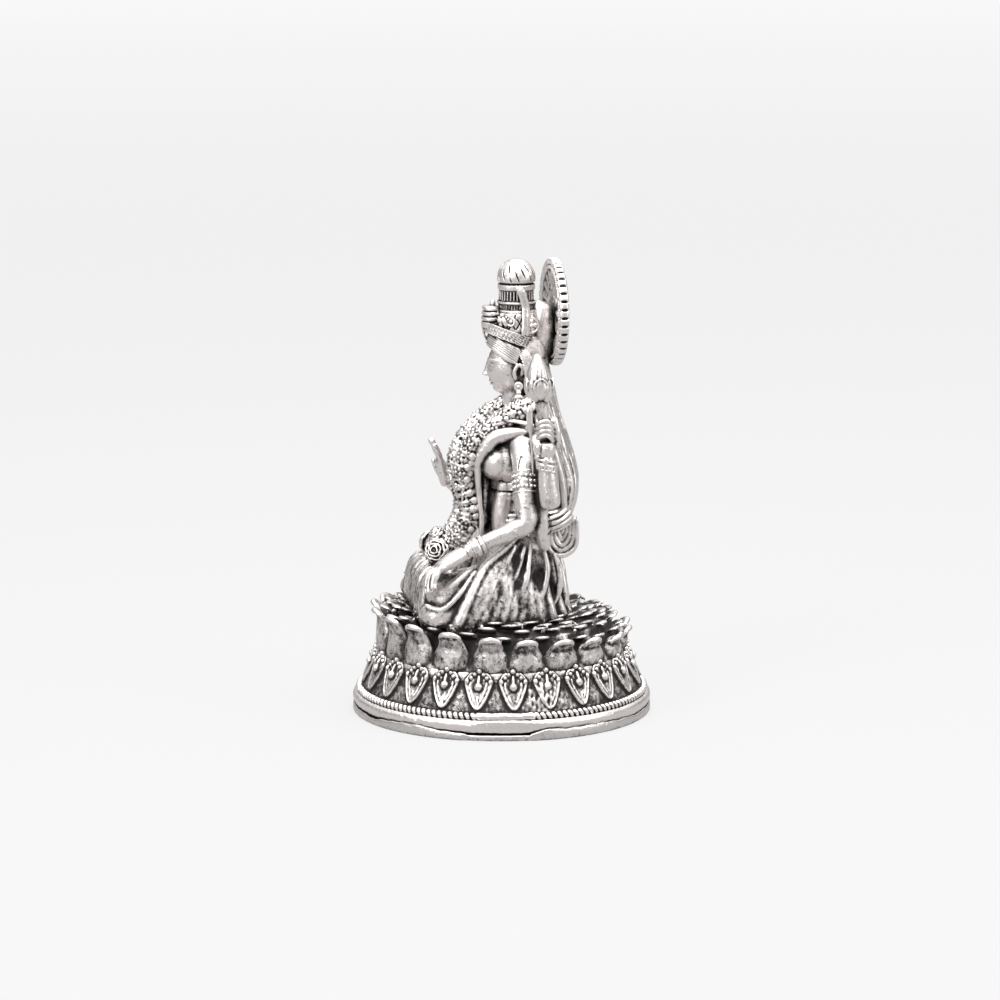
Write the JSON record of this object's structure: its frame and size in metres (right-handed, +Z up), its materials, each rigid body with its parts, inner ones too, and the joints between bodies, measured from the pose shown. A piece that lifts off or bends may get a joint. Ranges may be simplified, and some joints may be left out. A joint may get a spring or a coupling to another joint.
{
  "type": "seated goddess figurine",
  "caption": "Small cast silver idol of a four-armed goddess seated cross-legged on a lotus, with a crown, a halo and a garland, cast in one with its round plinth.",
  "frame": {"origin": "centre of the round underside", "axes": "+Z up, she faces -Y, and her left side is +X"},
  "size_m": [0.05, 0.05, 0.076],
  "materials": {
    "oxidised_silver": "cast silver, blackened in the hollows and rubbed bright on the high places, softly pitted",
    "plate_silver": "plain dull silver sheet with fine scratches"
  },
  "bodies": {
    "root": {"idol_casting": "oxidised_silver", "base_plate": "plate_silver"}
  },
  "joints": []
}
